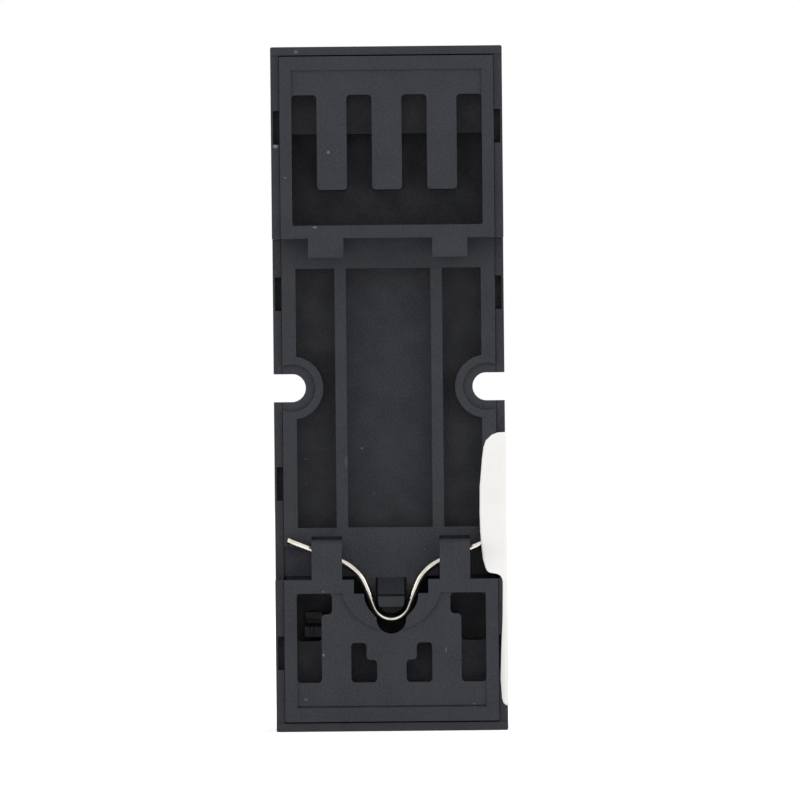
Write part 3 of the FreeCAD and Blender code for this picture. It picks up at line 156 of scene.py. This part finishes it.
class Shader:
    """A node material around one Principled shader."""

    def __init__(self, name):
        self.material = bpy.data.materials.new(name)
        self.material.use_nodes = True
        self.nodes = self.material.node_tree.nodes
        self.links = self.material.node_tree.links
        self.main = self.nodes["Principled BSDF"]
        self.place = self.add("ShaderNodeTexCoord").outputs["Object"]

    def add(self, kind, **settings):
        """A node with its plain properties set."""
        made = self.nodes.new(kind)
        for key, setting in settings.items():
            setattr(made, key, setting)
        return made

    def link(self, out, into):
        self.links.new(out, into)

    def noise(self, scale, detail=2.0, rough=0.5):
        """A noise value from 0 to 1."""
        made = self.add("ShaderNodeTexNoise")
        made.inputs["Scale"].default_value = scale
        made.inputs["Detail"].default_value = detail
        made.inputs["Roughness"].default_value = rough
        self.link(self.place, made.inputs["Vector"])
        return made.outputs["Fac"]

    def spread(self, amount, low, high, to_low=0.0, to_high=1.0):
        """A value moved from one range to another and kept inside it."""
        made = self.add("ShaderNodeMapRange")
        ends = {"From Min": low, "From Max": high, "To Min": to_low, "To Max": to_high}
        for socket, number in ends.items():
            made.inputs[socket].default_value = number
        self.link(amount, made.inputs["Value"])
        return made.outputs["Result"]

    def combine(self, first, second, operation="MULTIPLY"):
        """Two values put together."""
        made = self.add("ShaderNodeMath", operation=operation)
        self.link(first, made.inputs[0])
        if isinstance(second, (int, float)):
            made.inputs[1].default_value = second
        else:
            self.link(second, made.inputs[1])
        return made.outputs[0]

    def mix(self, amount, first, second):
        """A colour between two, each a tuple or another node's output."""
        made = self.add("ShaderNodeMix", data_type="RGBA")
        self.link(amount, made.inputs["Factor"])
        for socket, colour in ((made.inputs[6], first), (made.inputs[7], second)):
            if isinstance(colour, tuple):
                socket.default_value = (*colour, 1.0)
            else:
                self.link(colour, socket)
        return made.outputs[2]

    def bump(self, height, distance, strength=1.0, before=None):
        """A bump from a height value, in metres."""
        made = self.add("ShaderNodeBump")
        made.inputs["Strength"].default_value = strength
        made.inputs["Distance"].default_value = distance
        self.link(height, made.inputs["Height"])
        if before:
            self.link(before, made.inputs["Normal"])
        return made.outputs["Normal"]

    def finish(self, colour, roughness, normal, metallic=0.0, specular=0.5):
        """Sends the results to the shader."""
        self.link(colour, self.main.inputs["Base Color"])
        self.link(roughness, self.main.inputs["Roughness"])
        self.link(normal, self.main.inputs["Normal"])
        self.main.inputs["Metallic"].default_value = metallic
        self.main.inputs["Specular IOR Level"].default_value = specular
        return self.material


def dust(shader, cells, share, size):
    """Small separate specks: 1 on a speck, 0 elsewhere."""
    made = shader.add("ShaderNodeTexVoronoi")
    made.inputs["Scale"].default_value = cells
    shader.link(shader.place, made.inputs["Vector"])
    chosen = shader.add("ShaderNodeSeparateColor")
    shader.link(made.outputs["Color"], chosen.inputs["Color"])
    pick = shader.spread(chosen.outputs[0], 1.0 - share, 1.0 - share + 0.01)
    near = shader.spread(made.outputs["Distance"], size, size * 0.6)
    return shader.combine(pick, near)


def wear_and_highlight_spot(shader, place, size, strength):
    """A light spot, partly wear and partly painted highlight, at a place given across and up, with its two
    sizes, at every depth.
    """
    shift = shader.add("ShaderNodeMapping")
    shift.inputs["Scale"].default_value = (1000.0 / size[0], 0.0, 1000.0 / size[1])
    shift.inputs["Location"].default_value = (-place[0] / size[0], 0.0, -place[1] / size[1])
    shader.link(shader.place, shift.inputs["Vector"])
    length = shader.add("ShaderNodeVectorMath", operation="LENGTH")
    shader.link(shift.outputs["Vector"], length.inputs[0])
    return shader.spread(length.outputs["Value"], 1.0, 0.45, 0.0, strength)


def plastic(name, dark, light, wear_and_highlights=()):
    """Dark moulded plastic: faint mottling, a fine grain, a little dust and its light spots, partly wear and
    partly painted highlights.
    """
    shader = Shader(name)
    mottle = shader.spread(shader.noise(160.0, 4.0, 0.55), 0.3, 0.7)
    grain = shader.noise(3800.0, 3.0, 0.6)
    tone = shader.mix(mottle, dark, light)
    tone = shader.mix(shader.spread(grain, 0.42, 0.62, 0.0, 0.45), tone, tuple(2.0 * c for c in light))
    specks = dust(shader, 520.0, 0.035, 0.055)
    fluff = dust(shader, 210.0, 0.03, 0.045)
    tone = shader.mix(shader.combine(specks, 0.55), tone, SPECK_COLOUR)
    tone = shader.mix(shader.combine(fluff, 0.6), tone, FLUFF_COLOUR)
    # Light spots painted into the colour: partly wear, partly painted highlights on edges and corners.
    for place, size, strength in wear_and_highlights:
        tone = shader.mix(wear_and_highlight_spot(shader, place, size, strength), tone, WEAR_AND_HIGHLIGHT_COLOUR)
    rough = shader.spread(shader.noise(420.0, 3.0), 0.3, 0.7, 0.5, 0.64)
    swell = shader.bump(shader.noise(260.0, 2.0), 0.00002, 0.5)
    normal = shader.bump(grain, 0.00003, 0.8, swell)
    return shader.finish(tone, rough, normal, specular=0.36)


def metal(name, dark, light, rough_low, rough_high):
    """Bright metal with faint streaks and stains."""
    shader = Shader(name)
    streaks = shader.noise(2600.0, 4.0, 0.6)
    stain = shader.noise(500.0, 3.0)
    tone = shader.mix(shader.spread(stain, 0.35, 0.65), dark, light)
    rough = shader.spread(streaks, 0.3, 0.7, rough_low, rough_high)
    normal = shader.bump(streaks, 0.000004, 0.5)
    return shader.finish(tone, rough, normal, metallic=1.0)


def paper(name):
    """Smooth white label paper with a faint fibre and a little yellowing."""
    shader = Shader(name)
    cloud = shader.spread(shader.noise(130.0, 3.0), 0.3, 0.7)
    fibre = shader.noise(4200.0, 4.0, 0.7)
    tone = shader.mix(cloud, (0.9, 0.886, 0.862), (0.94, 0.932, 0.92))
    tone = shader.mix(shader.spread(fibre, 0.5, 0.9, 0.0, 0.15), tone, (0.8, 0.78, 0.75))
    rough = shader.spread(fibre, 0.3, 0.7, 0.42, 0.56)
    normal = shader.bump(fibre, 0.000006, 0.5)
    return shader.finish(tone, rough, normal, specular=0.4)


def soften(piece, edge):
    """Rounds a piece's sharp edges a little."""
    bevel = piece.modifiers.new("soft_edges", "BEVEL")
    bevel.width = edge * MM
    bevel.segments = 2
    bevel.limit_method = "ANGLE"
    bevel.angle_limit = math.radians(32)
    bevel.use_clamp_overlap = True
    bevel.harden_normals = True


def dress(node, material, edge):
    """Softens a carried-over CAD node's edges and gives it its material."""
    piece = frame["nodes"][node]
    if piece.data.has_custom_normals:
        with bpy.context.temp_override(object=piece, active_object=piece):
            bpy.ops.mesh.customdata_custom_splitnormals_clear()
    piece.data.polygons.foreach_set("use_smooth", [True] * len(piece.data.polygons))
    piece.data.materials.clear()
    piece.data.materials.append(material)
    weld = piece.modifiers.new("weld", "WELD")
    weld.merge_threshold = 0.000002
    soften(piece, edge)


def half_wire():
    """Points along half of the spring, from the loop's bottom to the tip, each across and up."""
    leg, arm = math.radians(LEG_ANGLE), math.radians(ARM_ANGLE)
    turn = math.pi / 2 - leg - arm
    leg_way = Vector((math.sin(leg), math.cos(leg)))
    arm_way = Vector((math.cos(arm), math.sin(arm)))
    centre = Vector((0.0, LOOP_HEIGHT))
    tip = Vector(TIP)
    points = []
    for step in range(ARC_STEPS + 1):
        angle = (math.pi / 2 - leg) * step / ARC_STEPS
        points.append(centre + Vector((math.sin(angle), -math.cos(angle))) * LOOP_RADIUS)
    loop_end = points[-1]
    gap = tip - loop_end
    run = (gap.x * arm_way.y - gap.y * arm_way.x) / (leg_way.x * arm_way.y - leg_way.y * arm_way.x)
    corner = loop_end + leg_way * run
    setback = BEND_RADIUS * math.tan(turn / 2)
    start = corner - leg_way * setback
    bend_centre = start + Vector((leg_way.y, -leg_way.x)) * BEND_RADIUS
    for step in range(1, 4):
        points.append(loop_end.lerp(start, step / 4))
    for step in range(ARC_STEPS + 1):
        angle = math.pi - leg - turn * step / ARC_STEPS
        points.append(bend_centre + Vector((math.cos(angle), math.sin(angle))) * BEND_RADIUS)
    bend_end = points[-1]
    for step in range(1, 9):
        points.append(bend_end.lerp(tip, step / 8))
    return points


def make_wire(material):
    """The rail spring: a round wire swept along its line, with cut ends."""
    right = half_wire()
    line = [Vector((-p.x, p.y)) for p in reversed(right[1:])] + right
    ring = WIRE_SIDES
    vertices = []
    faces = []
    for index, here in enumerate(line):
        before = line[max(index - 1, 0)]
        after = line[min(index + 1, len(line) - 1)]
        along = (after - before).normalized()
        across = Vector((-along.y, along.x))
        for step in range(ring):
            angle = 2 * math.pi * step / ring
            spot = here + across * (math.cos(angle) * WIRE_RADIUS)
            vertices.append(point(spot.x, WIRE_DEPTH + math.sin(angle) * WIRE_RADIUS, spot.y))
    for index in range(len(line) - 1):
        for step in range(ring):
            a = index * ring + step
            b = index * ring + (step + 1) % ring
            faces.append((a, b, b + ring, a + ring))
    faces.append(tuple(range(ring)))
    faces.append(tuple(reversed(range((len(line) - 1) * ring, len(line) * ring))))
    wire = mesh_piece("rail_spring_wire", vertices, faces)
    wire.data.materials.append(material)
    bevel = wire.modifiers.new("cut_ends", "BEVEL")
    bevel.width = WIRE_END_EDGE * MM
    bevel.segments = 2
    bevel.limit_method = "ANGLE"
    bevel.angle_limit = math.radians(50)
    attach(wire, ROOT)
    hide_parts("rail_spring")


def between(table, where):
    """A value read from a table of pairs, straight between its rows."""
    for (low, first), (high, last) in zip(table, table[1:]):
        if where <= high:
            return first + (last - first) * (where - low) / (high - low)
    return table[-1][1]


def fold_depth(height):
    """How deep the folded sheet lies at a height: on the block, up the ramp, then on the seat."""
    share = min(max((height - RAMP_LOW) / (RAMP_HIGH - RAMP_LOW), 0.0), 1.0)
    eased = 0.75 * share + 0.25 * share * share * (3 - 2 * share)
    return (BLOCK_DEPTH + (SEAT_DEPTH - BLOCK_DEPTH) * eased) - LABEL_THICKNESS / 2


def make_label(material):
    """The sticker: one sheet down the side, folded round the back edge, with a free edge."""
    low = LABEL_EDGE[0][0]
    even = {low + LABEL_LENGTH * i / LABEL_ROWS for i in range(LABEL_ROWS + 1)}
    rows = sorted({z for z, _ in LABEL_EDGE} | even)
    fold_steps, flat_steps, side_steps = 6, 12, 10
    middle = LABEL_OUTSIDE - LABEL_THICKNESS / 2
    vertices = []
    for height in rows:
        depth = fold_depth(height)
        edge = between(LABEL_EDGE, height)
        radius = min(FOLD_RADIUS, (middle - edge) * 0.8)
        path = [(edge + (middle - radius - edge) * i / flat_steps, depth) for i in range(flat_steps)]
        for i in range(fold_steps + 1):
            angle = math.pi / 2 * i / fold_steps
            across = middle - radius + radius * math.sin(angle)
            path.append((across, depth + radius * (1 - math.cos(angle))))
        side_start = depth + radius
        path += [(middle, side_start + (LABEL_FRONT - side_start) * i / side_steps)
                 for i in range(1, side_steps + 1)]
        for x, d in path:
            wave = noise.noise(Vector((x * 0.9, d * 0.5, height * 0.35)))
            lift = LABEL_LIFT * max(0.0, wave) * min(1.0, (middle - x) / 1.5)
            vertices.append(point(x, d - lift, height))
    count = fold_steps + 1 + flat_steps + side_steps
    faces = [(r * count + c, r * count + c + 1, (r + 1) * count + c + 1, (r + 1) * count + c)
             for r in range(len(rows) - 1) for c in range(count - 1)]
    label = mesh_piece("side_label_sheet", vertices, faces)
    label.data.materials.append(material)
    solid = label.modifiers.new("sheet", "SOLIDIFY")
    solid.thickness = LABEL_THICKNESS * MM
    solid.offset = 0.0
    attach(label, ROOT)
    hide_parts("side_label")


def block_corners(across, top, upward):
    """The eight corners of one block."""
    return [point(x, d, z) for z in upward for d in (top, BLOCK_FLOOR) for x in across]


def make_blocks(name, blocks, material, edge):
    """One piece of small blocks, all of the base's plastic."""
    sides = ((0, 2, 3, 1), (4, 5, 7, 6), (0, 1, 5, 4), (2, 6, 7, 3), (0, 4, 6, 2), (1, 3, 7, 5))
    vertices = []
    faces = []
    for block in blocks:
        first = len(vertices)
        vertices += block_corners(*block)
        faces += [tuple(first + i for i in side) for side in sides]
    piece = mesh_piece(name, vertices, faces)
    piece.data.materials.append(material)
    soften(piece, edge)
    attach(piece, ROOT)


def both_sides(blocks):
    """The blocks and their mirror images."""
    return blocks + [((-across[1], -across[0]), top, upward) for across, top, upward in blocks]


def make_materials():
    """Every material by its slot."""
    return {
        "housing_plastic": plastic("housing_plastic", (0.0119, 0.0125, 0.0171), (0.0165, 0.0172, 0.0229),
                                   HOUSING_WEAR_AND_HIGHLIGHTS),
        "base_plastic": plastic("base_plastic", (0.0126, 0.0136, 0.0186), (0.0175, 0.0186, 0.0248),
                                BASE_WEAR_AND_HIGHLIGHTS),
        "spring_wire": metal("spring_wire", (0.52, 0.47, 0.39), (0.84, 0.81, 0.76), 0.1, 0.22),
        "label_paper": paper("label_paper"),
        "screw_steel": metal("screw_steel", (0.6, 0.6, 0.58), (0.74, 0.74, 0.71), 0.28, 0.42),
        "cage_steel": metal("cage_steel", (0.55, 0.55, 0.53), (0.68, 0.68, 0.66), 0.3, 0.46),
        "contact_brass": metal("contact_brass", (0.66, 0.5, 0.25), (0.78, 0.62, 0.34), 0.26, 0.4),
    }


def dress_nodes(materials):
    """Carries over the CAD nodes whose shape is right."""
    for entry in frame["record"]["subparts"]:
        node, slot = entry["node"], entry["material_slot"]
        if node in ("rail_spring", "side_label"):
            continue
        dress(node, materials[slot], EDGES.get(node, SMALL_EDGE))


def light_mask(nodes, links):
    """1 for what the camera, a mirror or glass looks at straight, 0 for light that falls on things."""
    path = nodes.new("ShaderNodeLightPath")
    total = path.outputs["Is Camera Ray"]
    for name in ("Is Glossy Ray", "Is Transmission Ray"):
        more = nodes.new("ShaderNodeMath")
        more.operation = "MAXIMUM"
        links.new(total, more.inputs[0])
        links.new(path.outputs[name], more.inputs[1])
        total = more.outputs[0]
    return total


def make_world(strength):
    """Even light from all round, with a white background."""
    world = bpy.data.worlds.new("studio")
    bpy.context.scene.world = world
    world.use_nodes = True
    nodes, links = world.node_tree.nodes, world.node_tree.links
    nodes.clear()
    lit = nodes.new("ShaderNodeBackground")
    lit.inputs["Strength"].default_value = strength
    seen = nodes.new("ShaderNodeBackground")
    for background in (lit, seen):
        background.inputs["Color"].default_value = (1.0, 1.0, 1.0, 1.0)
    mixed = nodes.new("ShaderNodeMixShader")
    out = nodes.new("ShaderNodeOutputWorld")
    links.new(light_mask(nodes, links), mixed.inputs["Fac"])
    links.new(lit.outputs[0], mixed.inputs[1])
    links.new(seen.outputs[0], mixed.inputs[2])
    links.new(mixed.outputs[0], out.inputs["Surface"])


def make_floor():
    """A pale floor that looks white and keeps the object's shadow."""
    low = FLOOR_HEIGHT * MM
    reach = FLOOR_REACH
    corners = [(-reach, -reach, low), (reach, -reach, low), (reach, reach, low), (-reach, reach, low)]
    floor = mesh_piece("floor", corners, [(0, 1, 2, 3)])
    material = bpy.data.materials.new("floor")
    material.use_nodes = True
    nodes, links = material.node_tree.nodes, material.node_tree.links
    nodes.clear()
    surface = nodes.new("ShaderNodeBsdfDiffuse")
    surface.inputs["Color"].default_value = (FLOOR_GREY, FLOOR_GREY, FLOOR_GREY, 1.0)
    glow = nodes.new("ShaderNodeEmission")
    lift = nodes.new("ShaderNodeMath")
    lift.operation = "MULTIPLY"
    lift.inputs[1].default_value = FLOOR_GLOW
    links.new(light_mask(nodes, links), lift.inputs[0])
    links.new(lift.outputs[0], glow.inputs["Strength"])
    total = nodes.new("ShaderNodeAddShader")
    links.new(surface.outputs[0], total.inputs[0])
    links.new(glow.outputs[0], total.inputs[1])
    out = nodes.new("ShaderNodeOutputMaterial")
    links.new(total.outputs[0], out.inputs["Surface"])
    floor.data.materials.append(material)


def make_lamp(name, place, size, power):
    """A soft square lamp that faces the middle of the object."""
    data = bpy.data.lights.new(name, "AREA")
    data.shape = "SQUARE"
    data.size = size
    data.energy = power
    lamp = bpy.data.objects.new(name, data)
    lamp.location = place
    target = Vector((0.0, 0.0, CAMERA_Z * MM))
    lamp.rotation_euler = (target - lamp.location).to_track_quat("-Z", "Y").to_euler()
    bpy.context.scene.collection.objects.link(lamp)


def make_camera():
    """The camera at the photograph's angle."""
    data = bpy.data.cameras.new("camera")
    data.sensor_width = SENSOR_WIDTH
    data.lens = SENSOR_WIDTH * CAMERA_DISTANCE / VIEW_ACROSS
    data.clip_start = 0.01
    data.clip_end = 20.0
    camera = bpy.data.objects.new("camera", data)
    camera.location = point(CAMERA_X, -CAMERA_DISTANCE, CAMERA_Z)
    camera.rotation_euler = (math.pi / 2, math.radians(CAMERA_ROLL), 0.0)
    bpy.context.scene.collection.objects.link(camera)
    bpy.context.scene.camera = camera


def main():
    """Builds the whole scene."""
    bpy.context.scene.view_settings.view_transform = "Standard"
    make_camera()
    make_world(WORLD_STRENGTH)
    make_floor()
    for lamp in LAMPS:
        make_lamp(*lamp)
    materials = make_materials()
    dress_nodes(materials)
    make_wire(materials["spring_wire"])
    make_label(materials["label_paper"])
    plastic_of_base = materials["base_plastic"]
    make_blocks("window_blocks", WINDOW_BLOCKS, plastic_of_base, 0.08)
    make_blocks("snap_noses", both_sides(SNAP_NOSES), plastic_of_base, 0.05)
    make_blocks("shallow_floors", both_sides(SHALLOW_FLOORS), plastic_of_base, 0.02)
    make_blocks("cavity_corners", both_sides(CAVITY_CORNERS), plastic_of_base, 0.02)


main()
